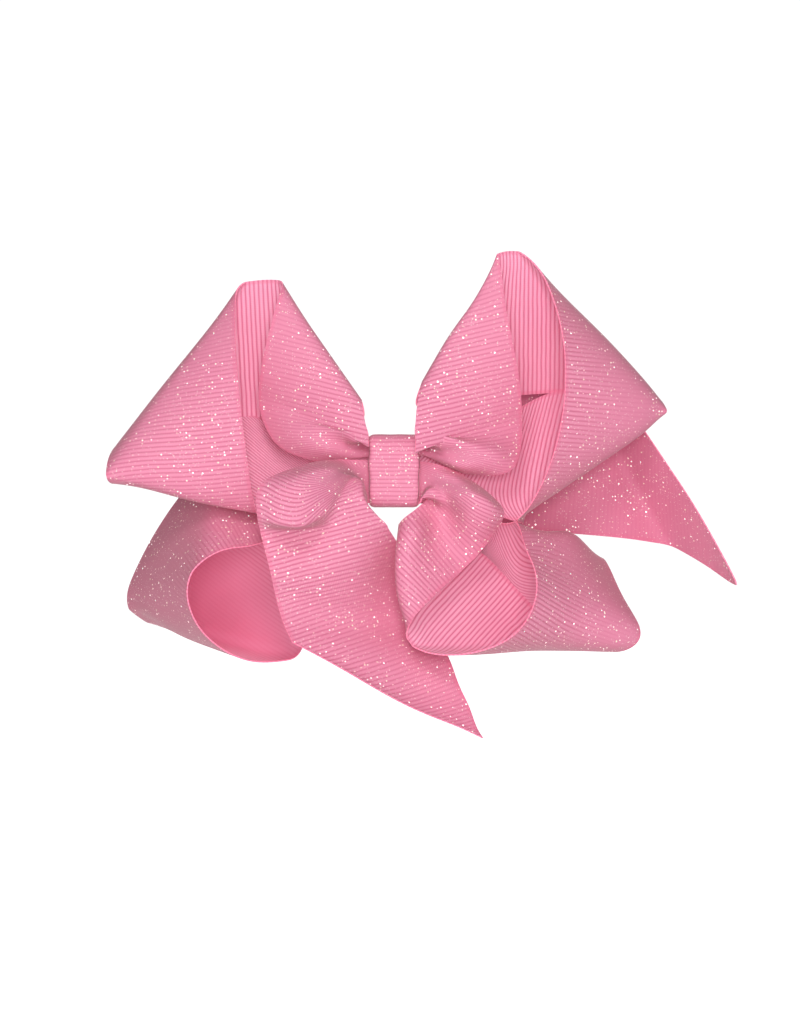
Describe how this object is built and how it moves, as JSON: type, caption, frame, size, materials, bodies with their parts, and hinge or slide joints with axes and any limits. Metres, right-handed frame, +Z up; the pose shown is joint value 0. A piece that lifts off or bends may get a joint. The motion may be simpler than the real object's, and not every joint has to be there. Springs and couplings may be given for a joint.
{
  "type": "hair bow clip",
  "caption": "Wide ribbon hair bow with folded loops and slanted tails gathered in a knot, on a sprung alligator clip that opens to grip hair.",
  "frame": {"origin": "on the clip's flat hair-side face, straight behind the middle of the knot", "axes": "+Z up the bow as worn, +Y out of the clip's flat face away from the bow's front, +X towards the clip's thumb tails"},
  "size_m": [0.1704, 0.0606, 0.1313],
  "materials": {
    "ribbon": "ribbed grosgrain with glitter",
    "thread": "matt twisted thread",
    "glue": "set hot-melt glue",
    "clip_steel": "bright nickel plate",
    "spring_steel": "drawn wire"
  },
  "bodies": {
    "bow": {"loop_upper_left": "ribbon", "loop_upper_right": "ribbon", "loop_lower_left": "ribbon", "loop_lower_right": "ribbon", "tail_front_left": "ribbon", "tail_rear_right": "ribbon", "knot_wrap": "ribbon", "cinch_thread": "thread", "glue_pad": "glue", "clip_upper_arm": "clip_steel", "hinge_pin": "clip_steel", "torsion_spring": "spring_steel"},
    "jaw": {"clip_lower_arm": "clip_steel"}
  },
  "joints": [
    {"name": "jaw_hinge", "type": "hinge", "parent": "bow", "child": "jaw", "pos_m": [0.0095, -0.0033, 0], "axis": [0, 0, -1], "range_deg": [0, 28], "stiffness_Nm_per_rad": 0.02, "springref_deg": -20.05, "deforming": ["torsion_spring"]}
  ]
}
